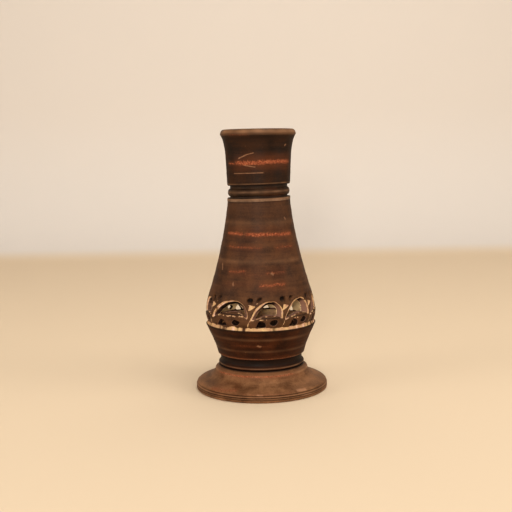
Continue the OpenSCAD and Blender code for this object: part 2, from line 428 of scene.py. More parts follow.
def by_hand(outline, sprout, amount=0.3):
    """The outline as a hand cuts it: a little off, and never twice the same."""
    taller = 1 + 0.04 * noise.noise(Vector((sprout * 0.37, 0.5, 0.5)))
    moved = []
    for x, height in outline:
        here = Vector((x * 0.33, height * 0.33, sprout * 1.7))
        moved.append((x + amount * noise.noise(here),
                      height * taller + amount * noise.noise(here + Vector((9, 4, 0)))))
    return moved


def window_cutter(sprout, w):
    outlines = (window_in_skin, window_in_wall, window_inside)
    skin, wall, inside = [by_hand(outline(w), sprout) for outline in outlines]
    return cutter([(shifted(skin, wall, -0.5), -0.45), (wall, 0.9), (inside, 4.2), (inside, 7.5)],
                  sprout)


def hole_cutter(outline, sprout):
    return cutter([(shrunk(outline, 1.12), -0.4), (outline, 0.3), (shrunk(outline, 0.8, 0.2), 4.6)],
                  sprout)


def leaf_cutter(outline, deepest, sprout):
    low = min(h for _, h in outline)
    high = max(h for _, h in outline)
    ramp = lambda h: 0.15 + deepest * min(1, max(0, (h - low) / (high - low))) ** 0.8
    return cutter([(shrunk(outline, 1.06), -0.4), (outline, 0.0), (shrunk(outline, 0.8), ramp),
                   (shrunk(outline, 0.25), ramp)], sprout)


# %% [markdown]
# ## Carving the belt
# The cuts are taken out in rounds that don't touch each other: first all the windows, then the
# pierced leaves under them, then the gouged leaves over them. After that the ring is remeshed in
# voxels of three eighths of a millimetre and smoothed a little, which softens every edge as a wet
# finger does.

# %% Cut the rounds
def gap_after(i):
    following = SPROUTS[(i + 1) % len(SPROUTS)] + (360 if i + 1 == len(SPROUTS) else 0)
    return math.radians(following - SPROUTS[i]) * BELLY_R


def take_away(piece, tools):
    nothing_selected()
    for tool in tools:
        tool.select_set(True)
    bpy.context.view_layer.objects.active = tools[0]
    bpy.ops.object.join()
    joined = bpy.context.object
    nothing_selected()
    piece.select_set(True)
    bpy.context.view_layer.objects.active = piece
    cut = piece.modifiers.new("Knife", "BOOLEAN")
    cut.operation = "DIFFERENCE"
    cut.solver = "EXACT"
    cut.object = joined
    bpy.ops.object.modifier_apply(modifier=cut.name)
    bpy.data.objects.remove(joined)
    print(f"cut {len(tools)} shapes: {len(piece.data.polygons)} faces")


rounds = [[], [], [], []]
for i, sprout in enumerate(SPROUTS):
    w = gap_after(i)
    nothing_selected()
    rounds[0].append(window_cutter(sprout, w))
    rounds[1].append(hole_cutter(by_hand(dome(w), sprout, 0.6), sprout))
    rounds[1].append(hole_cutter(by_hand(lens(w), sprout, 0.6), sprout))
    rounds[2].append(leaf_cutter(by_hand(broad_leaf(w), sprout), 1.9, sprout))
    rounds[2].append(leaf_cutter(by_hand(slim_leaf(w), sprout), 1.6, sprout))
    rounds[3].append(leaf_cutter(notch(w), 0.6, sprout))
for tools in rounds:
    take_away(belt, tools)

# %% Soften the cuts
remesh = belt.modifiers.new("Voxels", "REMESH")
remesh.mode = "VOXEL"
remesh.voxel_size = 0.375 * MM
bpy.ops.object.modifier_apply(modifier=remesh.name)
soft = belt.modifiers.new("Wet finger", "SMOOTH")
soft.factor = 0.5
soft.iterations = 2
bpy.ops.object.modifier_apply(modifier=soft.name)
print(f"carved belt: {len(belt.data.polygons)} faces")

# %% [markdown]
# ## Brushing off the chips
# Where two cuts nearly meet, the knife can leave a chip hanging in the air. Whatever isn't joined
# to the ring's bottom edge is brushed off.

# %% Remove loose chips
nothing_selected()
belt.select_set(True)
bpy.context.view_layer.objects.active = belt
bpy.ops.object.mode_set(mode="EDIT")
bpy.ops.mesh.select_mode(type="VERT")
bpy.ops.mesh.select_all(action="DESELECT")
ring = bmesh.from_edit_mesh(belt.data)
min(ring.verts, key=lambda point: point.co.z).select_set(True)
bmesh.update_edit_mesh(belt.data)
bpy.ops.mesh.select_linked()
bpy.ops.mesh.select_all(action="INVERT")
bpy.ops.mesh.delete(type="VERT")
bpy.ops.object.mode_set(mode="OBJECT")
print(f"belt without chips: {len(belt.data.polygons)} faces")

# %% [markdown]
# ## Cone
# The cone is the tallest section. Its wall is plain, so all of its look comes from the throwing
# ridges and from the rings that the rubbing stone left. The potter smeared the joint under it over
# with slip, so a thin skirt of clay runs down over the belt's top edge and no line shows there.

# %% Turn the cone
collar_z = SEAT["collar"]
cone_h = collar_z - cone_z
neck_lap = BORE_R + 1.2
cone_curve = curve((BELT_TOP_R, cone_z), (BELT_TOP_R - 4.55, cone_z + 0.27 * cone_h),
                   (NECK_R + 1, collar_z - 0.27 * cone_h), (NECK_R, collar_z), 100)
cone_inside = curve((BORE_R, collar_z - 1), (BORE_R + 1, collar_z - 0.27 * cone_h),
                    (belt_in - 4.4, cone_z + 0.27 * cone_h),
                    (belt_in, cone_z + LAP + SLIP + 0.6), 34)
smear = [(BELT_TOP_R - 0.3, cone_z), (BELT_TOP_R - 0.15, cone_z - 0.8),
         (BELT_TOP_R + 0.32, cone_z - 0.85)]
cone = turn("cone_shell", smear + finer(with_ridges(cone_curve, 3), 0.55)
            + lap_up(collar_z, neck_lap, BORE_R, NECK_LAP) + cone_inside
            + lap_down(cone_z, belt_lap, belt_in, LAP))

# %% [markdown]
# ## Collar, bead and neck
# The collar is a thin band whose top edge is painted lighter, partly as wear and partly as a
# painted highlight. The bead is a coil pressed on and rounded between two deep grooves. The neck
# rises straight and flares into a fat, rounded lip.

# %% Turn the collar
ring_z = SEAT["neck_ring"]
collar_outside = (
    [(NECK_R, collar_z), (NECK_R + 0.12, collar_z + 0.25), (NECK_R + 0.15, ring_z - 0.75)]
    + arc((NECK_R - 0.35, ring_z - 0.5), 0.5, 0, 90, 5))
collar = turn("collar_shell", finer(collar_outside, 0.4)
              + lap_up(ring_z, neck_lap, BORE_R, NECK_LAP)
              + lap_down(collar_z, neck_lap, BORE_R, NECK_LAP))

# %% Turn the bead
neck_z = SEAT["neck"]
groove_r = NECK_R - 1.6
bead_z = ring_z + 0.9 + 2.15
bead = [(groove_r + 1.3 * r, bead_z + 2.15 * h) for r, h in arc((0, 0), 1, -90, 90, 18)]
neck_ring = turn("bead_shell", [(groove_r, ring_z)] + bead + [(groove_r, neck_z)]
                 + lap_up(neck_z, neck_lap, BORE_R, NECK_LAP)
                 + lap_down(ring_z, neck_lap, BORE_R, NECK_LAP))

# %% Turn the neck
lip_base = TOP - 3.3
neck_curve = curve((NECK_R, neck_z + 0.5), (NECK_R + 0.9, neck_z + 10.4),
                   (NECK_R - 0.1, lip_base - 6.2), (LIP_R - 0.35, lip_base - 0.2), 64)
lip = [(LIP_R - 2.1 + 2.1 * r, lip_base + 0.4 + (2.9 * h if h > 0 else 0.6 * h))
       for r, h in arc((0, 0), 1, -35, 90, 14)]
mouth = curve((BORE_R + 4.6, TOP - 0.15), (BORE_R + 2.6, TOP - 1.6), (BORE_R, TOP - 6.5),
              (BORE_R, TOP - 9.5), 16)
neck = turn("neck_shell", [(NECK_R - 0.35, neck_z)] + finer(with_ridges(neck_curve, 3), 0.42) + lip
            + mouth + lap_down(neck_z, neck_lap, BORE_R, NECK_LAP), around=320)

# %% [markdown]
# ## The hand in it
# Nothing on a kick wheel is quite round or quite level. One gentle rule moves the points of all the
# sections together, so that they still meet: the wall swells and shrinks by a tenth of a
# millimetre, and the collar and bead sit a touch higher on one side.

# %% Make the sections a little uneven
SWELL = 0.12
TILT = 0.022
PIECES = {"foot": foot, "waist": waist, "lower_bowl": bowl, "pierced_belt": belt,
          "upper_cone": cone, "collar": collar, "neck_ring": neck_ring, "neck": neck}


def smooth_step(low, high, value):
    t = min(1, max(0, (value - low) / (high - low)))
    return t * t * (3 - 2 * t)


def lift(x, z):
    """How much higher the collar and bead sit at x. It starts on the cone and ends on the neck."""
    return TILT * x * smooth_step(98, 110, z) * (1 - smooth_step(122, 145, z))


def uneven(point):
    x, y, z = point.x / MM, point.y / MM, point.z / MM
    r = math.hypot(x, y)
    if r < 1:
        return point
    swell = SWELL * noise.noise(Vector((x / r * 1.1, y / r * 1.1, z / 45))) * smooth_step(0.5, 6, z)
    k = (r + swell) / r
    return Vector((x * k, y * k, z + lift(x, z))) * MM


for piece in PIECES.values():
    for point in piece.data.vertices:
        point.co = uneven(point.co)

# %% [markdown]
# ## Where the stone rubbed through
# A polishing stone bears hardest on the high rings. There it rubs the dark skin away and an
# orange-red clay shows, in broken bands. Each band has a height, a half width, a strength, and a
# stretch of the round that it covers, in degrees from the front. They are painted on the points
# of the mesh as an attribute, and the material breaks them up further.

# %% Rubbed bands
BANDS = [
    # height, half width, strength, from, to, rise across the stretch
    (131.3, 1.3, 0.9, -52, 74, 0.3), (131.0, 0.5, 0.75, -66, -44, 0.0),
    (131.6, 1.1, 0.8, 96, 205, -0.4), (131.2, 0.7, 0.5, 228, 280, 0.3),
    (146.7, 0.45, 0.5, -52, -12, 0.0), (146.7, 0.4, 0.35, 100, 190, 0.0),
    (112.0, 0.6, 0.45, 5, 60, 0.2), (112.0, 0.5, 0.4, 150, 260, 0.0),
    (116.4, 0.5, 0.35, 10, 40, 0.0), (91.4, 1.1, 0.85, -30, 66, -0.5),
    (91.8, 0.9, 0.85, -62, -24, -0.6), (91.0, 1.0, 0.8, 110, 170, 0.4),
    (91.2, 0.7, 0.6, 200, 262, -0.2), (84.3, 0.9, 0.55, -56, 8, -0.4),
    (84.1, 0.8, 0.55, 20, 58, 0.2), (84.0, 0.8, 0.6, 140, 236, 0.3),
    (71.0, 0.85, 0.62, -46, -16, 0.9), (69.6, 1.5, 0.34, -22, 6, 0.0),
    (70.6, 1.0, 0.5, 3, 36, 0.6), (70.2, 0.9, 0.55, 92, 150, 0.8),
    (70.4, 0.8, 0.5, 214, 258, -0.5), (63.9, 1.0, 0.68, -4, 33, 0.7),
    (64.3, 0.6, 0.3, -50, -6, 0.0), (64.2, 0.9, 0.7, 170, 212, -0.6),
    (29.7, 0.45, 0.42, -38, 16, 0.3), (29.9, 0.5, 0.4, 120, 210, 0.0),
    # The bands at 21.6, 15.9 and 12.0 mm, along the bowl's lip, the waist's bead and the foot's
    # shoulder, are partly rubbed clay and partly painted highlights on those edges
    (21.6, 0.35, 0.6, -80, 60, 0.0), (21.6, 0.35, 0.5, 90, 270, 0.0),
    (15.9, 0.35, 0.35, -60, 40, 0.0), (12.0, 0.55, 0.75, -75, 52, 0.0),
    (12.0, 0.5, 0.6, 80, 280, 0.0), (5.6, 0.9, 0.55, -54, -20, 0.3), (4.6, 0.5, 0.4, -20, 30, 0.0),
    (5.4, 0.8, 0.5, 130, 190, 0.2),
]
# Nicks and scrapes bite through to pale clay: start and end, as (angle, height), and half width
SCRAPES = [((-36, 133.8), (-20, 135.8), 0.28), ((-20, 135.8), (-8, 136.7), 0.2),
           ((-48, 125.6), (8, 125.6), 0.16), ((-25, 130.0), (-6, 128.9), 0.2),
           ((50, 140.6), (52, 141.0), 0.4), ((-60, 74.6), (-57, 71.4), 0.34),
           ((14, 70.2), (16, 69.6), 0.4), ((-34, 65.0), (-33, 63.4), 0.3),
           ((33, 5.2), (41, 4.9), 0.5), ((36, 2.3), (46, 2.4), 0.45), ((-4, 4.4), (0, 4.1), 0.5),
           ((-4, 29.9), (-1, 29.5), 0.45), ((48, 100.2), (50, 99.2), 0.35),
           ((150, 80.0), (158, 82.0), 0.3), ((210, 128.0), (222, 129.2), 0.25),
           ((185, 33.0), (190, 31.6), 0.3)]


def turn_from(angle, start):
    """Degrees from start to angle, from -180 to 180."""
    return (angle - start + 180) % 360 - 180


def round_the_pot(angle, z=0.0):
    """A place on a ring, so that noise that is read there has no seam."""
    return Vector((math.sin(math.radians(angle)), math.cos(math.radians(angle)), z))


def rubbed_at(angle, z):
    """How rubbed the skin is at this point, and how much it is warmed by a band nearby."""
    most = halo = 0
    here = round_the_pot(angle, z * 0.02)
    z += 0.35 * noise.noise(here * 6) + 0.25 * noise.noise(here * 18)
    for height, half, strength, start, end, rise in BANDS:
        if abs(z - height) > 5 * half + abs(rise):
            continue
        middle, reach = (start + end) / 2, (end - start) / 2
        along = turn_from(angle, middle) / reach
        if abs(along) < 1.15:
            across = (z - height - rise * along / 2) / (half * 1.25)
            ends = 1 - smooth_step(0.7, 1.12, abs(along))
            most = max(most, 1.2 * strength * ends * math.exp(-across * across))
            halo = max(halo, strength * ends * math.exp(-across * across / 6))
    return most, halo


# Edges that stand proud, painted lighter partly as wear and partly as painted highlights: height,
# half width, and how much
WEAR_AND_HIGHLIGHTS = [(148.6, 1.5, 0.7), (146.9, 0.4, 0.4), (bead_z + 0.3, 0.6, 0.4), (ring_z - 0.45, 0.5, 0.8),
        (neck_z + 0.9, 0.3, 0.55), (shoulder_z - 0.2, 0.75, 0.75), (lip_z - 0.1, 0.35, 0.65),
        (foot_top + 1.5, 0.4, 0.5), (2.2, 0.22, 0.5), (3.35, 0.25, 0.5), (33.4, 0.8, 0.22),
        (26.2, 0.7, 0.2), (76.5, 1.2, 0.16), (98.0, 1.5, 0.14)]


def wear_and_highlight_at(angle, z):
    patchy = 0.75 + 0.6 * noise.noise(round_the_pot(angle, z * 0.0375) * 4)
    return patchy * max(amount * math.exp(-((z - height) / half) ** 2)
                        for height, half, amount in WEAR_AND_HIGHLIGHTS)


def scraped_at(angle, z, r):
    most = 0
    for (a0, z0), (a1, z1), half in SCRAPES:
        if min(z0, z1) - 1.5 < z < max(z0, z1) + 1.5:
            run = Vector((math.radians(a1 - a0) * r, z1 - z0))
            here = Vector((math.radians(turn_from(angle, a0)) * r, z - z0))
            t = min(1, max(0, here.dot(run) / run.length_squared))
            most = max(most, 1 - smooth_step(half * 0.5, half * 1.6, (here - run * t).length))
    return most


# %% [markdown]
# ## Which clay shows
# Outside, the pot has its dark skin. Inside, and wherever the knife cut deeper than the skin, the
# clay is bare. On a turned section the inside is simply everything well inside the outline. On the
# belt it is everything a tenth of a millimetre under the old surface, except the gouged leaves,
# which were pressed in before the skin was rubbed on. The raw clay of the inside starts 3.3 mm
# under the belt's surface, and is painted extra pale as painted light. The bowl's inside up to
# 35.5 mm is painted dark as painted shade, and painted shade also darkens grooves and cuts.

# %% Paint the points
# The raw inside is bare clay, painted extra pale as painted light so that it still reads bright in
# shade
RAW_AND_LIT = 2.0
INSIDE_FROM = 3.3
# The bowl's inside below this height is painted darker, as painted shade
SHADED_BELOW = 35.5


def outside_radius(points):
    table = sorted((z, r) for r, z in points)

    def radius(z):
        near = min(table, key=lambda entry: abs(entry[0] - z))
        return near[1]
    return radius


def near_leaf(angle, height):
    for sprout in SPROUTS:
        x = math.radians(turn_from(angle, sprout)) * BELLY_R
        if -3 < x < 8.8 and height > 14.3 + max(0, 3.2 - x) * 0.15 and height > 13.4 + x * 0.5:
            return True
    return False


def place_on_belt(angle):
    """Which window a point is at: mm from the window's sprout, and the gap's width."""
    for i, sprout in enumerate(SPROUTS):
        w = gap_after(i)
        x = math.radians((angle - sprout) % 360) * BELLY_R
        if x < w:
            return x, w
    return 0.0, gap_after(0)


def clay_on_belt(angle, z, r, faces_down):
    """How bare, how deeply cut and how much painted shade the belt has here. A bareness of 2 is raw
    clay.
    """
    height = z - belt_z
    depth = belt_radius(height) - r
    if depth > INSIDE_FROM:
        return RAW_AND_LIT, 0.0, 0.0
    here = round_the_pot(angle) * 7
    ragged = 0.7 * noise.noise(here) + 0.4 * noise.noise(here * 4)
    ledge = 1 - smooth_step(1.9 + ragged, 2.3 + ragged, height)
    ledge *= 0.72 + 0.8 * noise.noise(here * 1.6)
    # Painted shade: a thin dark line under the ledge
    under_ledge = 1 - smooth_step(0.15, 0.6, height)
    if near_leaf(angle, height):
        # Painted shade in the deep top of a gouged leaf
        return 0.0, 0.0, smooth_step(0.7, 1.5, depth)
    x, w = place_on_belt(angle)
    if height < 7.3 and 2.8 < x < w - 1.2 and (height < 6.3 or x > w * 0.5):
        deep = smooth_step(0.12, 0.3, depth) * (1 - ledge)
        # Painted shade in the holes' cut faces under the sill
        return ledge, deep, max(0.9 * deep * smooth_step(0.2, 0.8, depth), under_ledge)
    if height < 6.2 and min(x, w - x) < 2.0 and depth < 0.5:
        side = x if x < w / 2 else x - w
        off_line = abs(side - 0.35 * (height - 5.4) - 0.3 * noise.noise(here * 9))
        gaps = 0.5 + noise.noise(Vector((x, height * 1.5, angle)))
        line = (1 - smooth_step(0.2, 0.55, off_line)) * gaps
        return max(ledge, line), 0.0, under_ledge
    limit = 1.0 + 0.25 * noise.noise(Vector((x * 0.9, height * 0.9, angle * 0.1)))
    deep = smooth_step(limit - 0.12, limit + 0.12, depth)
    sill = 8.5 + 0.75 * sill_lift(w)
    spots = noise.noise(Vector((x * 0.35, height * 0.35, angle * 0.03)))
    patchy = 1 - 0.3 * smooth_step(0.4, 0.75, x / w) + 0.4 * spots
    crisp = 0.3 * smooth_step(0.5, 0.65, depth)
    if 3 < x < w - 2.5 and height < sill + 1.6:
        patchy, crisp = 0.45 + 0.9 * noise.noise(Vector((x * 0.7, height, angle * 0.1))), 0.0
    cut = smooth_step(0.08, 0.2, depth) * (1 - deep) * (max(0, min(1, patchy)) + crisp)
    if depth < 0.3 and 5.5 < x < w - 2.5 and 5 < height < sill:
        # a dark line of painted shade under the sill stands for the shadow of a knife slip; under
        # it runs a pale line of bare clay
        slip = 0.35 * noise.noise(here * 6)
        score_shadow = 0.75 * (1 - smooth_step(0.2, 0.5, abs(height - sill + 1.0 + slip)))
        graze = 1 - smooth_step(0.2, 0.5, abs(height - sill + 1.9 + slip))
        broken = 0.6 + 1.2 * noise.noise(Vector((x * 0.8, angle * 0.2, 0.5)))
        return max(ledge, cut, graze * min(1, max(0, broken))), deep, max(score_shadow, under_ledge)
    # Painted shade on deep cut faces that face down, under the arches
    return max(ledge, cut), deep, max(deep * smooth_step(0.25, 0.75, faces_down), under_ledge)


def outlined(name):
    """The outside of a turned section, and how far inside it the bare clay starts."""
    return {"lower_bowl": (bowl_outside, 2.2), "upper_cone": (cone_curve, 2.2),
            "neck": (neck_curve, 2.2), "collar": (collar_outside, 2.0),
            "neck_ring": ([(NECK_R, ring_z), (NECK_R, neck_z)], 2.3)}.get(name)


# Painted shade in grooves, under the lip and over the cone's top: height, half width, and how dark
SHADE_BANDS = [(ring_z + 0.2, 0.75, 1.0), (neck_z - 0.05, 0.75, 1.0), (109.3, 0.3, 0.6),
           (bowl_z - 0.3, 1.0, 0.8), (bowl_z - 2.6, 0.6, 0.5), (foot_top + 0.1, 0.7, 1.0),
           (lip_base - 1.6, 1.7, 0.55), (belt_z - 0.4, 0.5, 0.6),
           (1.65, 0.25, 0.7), (2.75, 0.28, 0.8), (3.95, 0.25, 0.7), (105.0, 7.0, 0.26)]


def painted_shade_at(z):
    return max(amount * math.exp(-((z - height) / half) ** 2) for height, half, amount in SHADE_BANDS)


def paint(name, piece):
    values = {key: [] for key in ("rubbed", "warmed", "wear_and_highlight", "scraped", "bare", "deep", "painted_shade")}
    outline = outlined(name)
    radius = outside_radius(outline[0]) if outline else None
    for point in piece.data.vertices:
        x, y, z = point.co / MM
        r = math.hypot(x, y)
        angle = math.degrees(math.atan2(x, -y))
        bare = deep = 0.0
        z -= lift(x, z)
        # Painted shade in grooves, under the lip and over the cone's top
        painted_shade = painted_shade_at(z)
        if name == "pierced_belt":
            # On the belt, painted shade falls in holes, gouged leaves, under the arches and under
            # the ledge
            bare, deep, belt_shade = clay_on_belt(angle, z, r, -point.normal.z)
            painted_shade = max(belt_shade, painted_shade * (1 - bare))
        elif outline and z < TOP - 6 and r < radius(z) - outline[1]:
            if name == "lower_bowl" and z < SHADED_BELOW:
                # The bowl's inside is painted darker, as painted shade
                deep, painted_shade = 1.0, 0.55
            else:
                bare, painted_shade = RAW_AND_LIT if name == "upper_cone" else 1.0, 0.0
        on_skin = bare < 0.5 and deep < 0.5
        values["bare"].append(bare)
        values["deep"].append(deep)
        values["painted_shade"].append(painted_shade)
        rubbed, warmed = rubbed_at(angle, z) if on_skin else (0.0, 0.0)
        values["rubbed"].append(rubbed)
        values["warmed"].append(warmed)
        values["wear_and_highlight"].append(wear_and_highlight_at(angle, z) if on_skin and name != "pierced_belt" else 0.0)
        values["scraped"].append(scraped_at(angle, z, max(r, 1)) if on_skin else 0.0)
    for key, numbers in values.items():
        layer = piece.data.attributes.new(key, "FLOAT", "POINT")
        layer.data.foreach_set("value", numbers)


for name, piece in PIECES.items():
    paint(name, piece)
    nothing_selected()
    piece.select_set(True)
    bpy.context.view_layer.objects.active = piece
    bpy.ops.object.shade_smooth_by_angle(angle=math.radians(38))
    print(f"painted {name}")

# %% [markdown]
# ## Materials
# A clay pot is one material in three states: burnished skin, skin rubbed thin, and bare cut clay.
# Colours are written as hex, as a colour picker shows them, and one function makes them linear.
# One more function adds a shader node, sets its inputs and links them.

# %% Colour and node helpers
def linear(code, alpha=1.0):
    parts = [int(code[i:i + 2], 16) / 255 for i in (1, 3, 5)]
    light = tuple(c / 12.92 if c <= 0.04045 else ((c + 0.055) / 1.055) ** 2.4 for c in parts)
    return light + (alpha,)


def add(tree, kind, settings=None, **inputs):
    """A node of that kind. An input's value is a constant, or another node's socket.

    An input is called by its name, or i and its number where names repeat."""
    node = tree.nodes.new(kind)
    for key, value in (settings or {}).items():
        setattr(node, key, value)
    for key, value in inputs.items():
        by_number = key[0] == "i" and key[1:].isdigit()
        socket = node.inputs[int(key[1:]) if by_number else key.replace("_", " ")]
        if isinstance(value, bpy.types.NodeSocket):
            tree.links.new(value, socket)
        else:
            socket.default_value = value
    return node


def blank(name):
    material = bpy.data.materials.new(name)
    material.use_nodes = True
    material.node_tree.nodes.clear()
    return material


# %% [markdown]
# ## The patterns in a handled clay skin
# Five patterns of noise are shared by every clay state. Clouds a centimetre wide come from the
# smoke. Level bands come from the wheel: noise squeezed upright and stretched sideways in Object
# coordinates, so that it runs round the pot without a seam. Grain is finer than a millimetre.
# The hatch is upright and a millimetre long, and breaks up whatever was rubbed. Patches are three
# millimetres wide, and turn the cut clay from pinkish to ochre.

# %% Patterns
def patterns(tree):
    place = add(tree, "ShaderNodeTexCoord").outputs["Object"]
    level = add(tree, "ShaderNodeMapping", Vector=place, Scale=(40, 40, 620)).outputs["Vector"]
    upright = add(tree, "ShaderNodeMapping", Vector=place,
                  Scale=(1900, 1900, 800)).outputs["Vector"]
    return {
        "clouds": add(tree, "ShaderNodeTexNoise", Vector=place, Scale=110.0, Detail=4.0,
                      Roughness=0.6).outputs["Fac"],
        "bands": add(tree, "ShaderNodeTexNoise", Vector=level, Scale=0.6, Detail=5.0,
                     Roughness=0.62).outputs["Fac"],
        "grain": add(tree, "ShaderNodeTexNoise", Vector=place, Scale=1300.0, Detail=3.0,
                     Roughness=0.65).outputs["Fac"],
        "hatch": add(tree, "ShaderNodeTexNoise", Vector=upright, Scale=1.0, Detail=3.0,
                     Roughness=0.7).outputs["Fac"],
        "patches": add(tree, "ShaderNodeTexNoise", Vector=place, Scale=330.0, Detail=4.0,
                       Roughness=0.62).outputs["Fac"],
    }


# %% [markdown]
# ## Burnished skin
# The skin is a fine slip, rubbed with a stone when nearly dry and fired in smoke. Clouds, bands and
# a little grain are added up, and the sum chooses between the pot's dark tone and its light one.

# %% Skin colour
def skin_colour(tree, by, dark, light):
    tone = add(tree, "ShaderNodeMath", {"operation": "MULTIPLY_ADD"}, i0=by["bands"], i1=0.6,
               i2=-0.42).outputs[0]
    tone = add(tree, "ShaderNodeMath", {"operation": "MULTIPLY_ADD"}, i0=by["grain"], i1=0.35,
               i2=tone).outputs[0]
    tone = add(tree, "ShaderNodeMath", {"operation": "ADD"}, i0=by["clouds"], i1=tone).outputs[0]
    tone = add(tree, "ShaderNodeMapRange", {"interpolation_type": "SMOOTHSTEP"}, Value=tone,
               From_Min=0.28, From_Max=0.82).outputs["Result"]
    skin = add(tree, "ShaderNodeMix", {"data_type": "RGBA"}, Factor=tone, i6=linear(dark),
               i7=linear(light)).outputs[2]
    wear_and_highlight = add(tree, "ShaderNodeAttribute", {"attribute_name": "wear_and_highlight"}).outputs["Fac"]
    pits = add(tree, "ShaderNodeMapRange", Value=by["grain"], From_Min=0.34, From_Max=0.24,
               To_Max=0.7).outputs["Result"]
    dust = add(tree, "ShaderNodeMapRange", Value=by["grain"], From_Min=0.68, From_Max=0.78,
               To_Max=0.35).outputs["Result"]
    # Proud edges are painted lighter, partly as wear and partly as painted highlights; pits and
    # dust are specks in the clay
    for share, tint in ((wear_and_highlight, "#9a7456"), (pits, "#150b06"), (dust, "#a8825f")):
        skin = add(tree, "ShaderNodeMix", {"data_type": "RGBA"}, Factor=share, i6=skin,
                   i7=linear(tint)).outputs[2]
    return skin


# %% [markdown]
# ## Rubbed and scraped skin
# Where the stone bore hard the skin is thin, and iron-red clay shows through it in upright
# scratches. The painted band only says how likely that is at each point: the hatch decides, so a
# strong band is almost solid and a weak one is a row of flecks. The flecks' own colour runs from
# dark red to a dull orange. Scrapes are later knocks, pale and thin.

# %% Wear
def with_wear(tree, by, colour):
    warmed, rubbed, scraped = [
        add(tree, "ShaderNodeAttribute", {"attribute_name": key}).outputs["Fac"]
        for key in ("warmed", "rubbed", "scraped")]
    warmed = add(tree, "ShaderNodeMath", {"operation": "MULTIPLY"}, i0=warmed,
                 i1=by["bands"]).outputs[0]
    colour = add(tree, "ShaderNodeMix", {"data_type": "RGBA"}, Factor=warmed, i6=colour,
                 i7=linear("#6a3a1e")).outputs[2]
    chance = add(tree, "ShaderNodeMath", {"operation": "MULTIPLY_ADD"}, i0=by["hatch"], i1=2.0,
                 i2=-1.25).outputs[0]
    chance = add(tree, "ShaderNodeMath", {"operation": "MULTIPLY_ADD"}, i0=rubbed, i1=1.15,
                 i2=chance).outputs[0]
    flecks = add(tree, "ShaderNodeMapRange", {"interpolation_type": "SMOOTHSTEP"}, Value=chance,
                 From_Min=0.2, From_Max=1.05).outputs["Result"]
    gate = add(tree, "ShaderNodeMapRange", Value=rubbed, From_Min=0.03,
               From_Max=0.25).outputs["Result"]
    flecks = add(tree, "ShaderNodeMath", {"operation": "MULTIPLY"}, i0=flecks, i1=gate).outputs[0]
    red = add(tree, "ShaderNodeMapRange", Value=by["grain"], From_Min=0.35,
              From_Max=0.68).outputs["Result"]
    red = add(tree, "ShaderNodeMix", {"data_type": "RGBA"}, Factor=red,
              i6=linear("#5f2a17"), i7=linear("#ad6a4a")).outputs[2]
    colour = add(tree, "ShaderNodeMix", {"data_type": "RGBA"}, Factor=flecks, i6=colour,
                 i7=red).outputs[2]
    thin = add(tree, "ShaderNodeMath", {"operation": "MULTIPLY"}, i0=scraped,
               i1=by["hatch"]).outputs[0]
    colour = add(tree, "ShaderNodeMix", {"data_type": "RGBA"}, Factor=thin, i6=colour,
                 i7=linear("#ab8062")).outputs[2]
    return colour, flecks


# %% [markdown]
# ## Cut clay and painted shade
# The knife's bevel shows bare clay, ochre in some places and pinkish in others. Deeper in, the cut
# is painted a dull purple brown. The raw inside is the palest, painted extra pale as painted light.
# Painted shade darkens the grooves, the holes and the undersides of the arches.

# %% Cuts
def with_cuts(tree, by, colour):
    bare, deep, painted_shade = [
        add(tree, "ShaderNodeAttribute", {"attribute_name": key}).outputs["Fac"]
        for key in ("bare", "deep", "painted_shade")]
    crisp = add(tree, "ShaderNodeMapRange", Value=bare, From_Min=1.0,
                From_Max=1.25).outputs["Result"]
    # The raw inside's tint is painted extra pale, as painted light
    raw = add(tree, "ShaderNodeMapRange", Value=bare, From_Min=1.4, From_Max=1.8).outputs["Result"]
    bare = add(tree, "ShaderNodeMapRange", {"interpolation_type": "SMOOTHSTEP"}, Value=bare,
               From_Min=0.35, From_Max=0.65).outputs["Result"]
    hue = add(tree, "ShaderNodeMapRange", Value=by["patches"], From_Min=0.36,
              From_Max=0.64).outputs["Result"]
    pale = add(tree, "ShaderNodeMix", {"data_type": "RGBA"}, Factor=hue,
               i6=linear("#a98268"), i7=linear("#c7a77b")).outputs[2]
    for share, tint in ((crisp, "#d3b3a0"), (raw, "#f2d2a2")):
        pale = add(tree, "ShaderNodeMix", {"data_type": "RGBA"}, Factor=share, i6=pale,
                   i7=linear(tint)).outputs[2]
    colour = add(tree, "ShaderNodeMix", {"data_type": "RGBA"}, Factor=bare, i6=colour,
                 i7=pale).outputs[2]
    # Deeper cut faces are painted a dull purple brown, and painted shade is painted nearly black
    for share, tint in ((deep, "#7e5f50"), (painted_shade, "#1a0e07")):
        colour = add(tree, "ShaderNodeMix", {"data_type": "RGBA"}, Factor=share, i6=colour,
                     i7=linear(tint)).outputs[2]
    dull = add(tree, "ShaderNodeMath", {"operation": "MAXIMUM"}, i0=bare, i1=deep).outputs[0]
    return colour, dull


# %% [markdown]
# ## The whole clay
# A burnished pot has a dull, waxy shine: roughness a little over a half, and the IOR of any
# silicate, about 1.5. The gloss is turned down until the dark rings stay dark. The stone misses the
# cuts, so they are rougher. Bands and grain also stand a few hundredths of a millimetre proud.

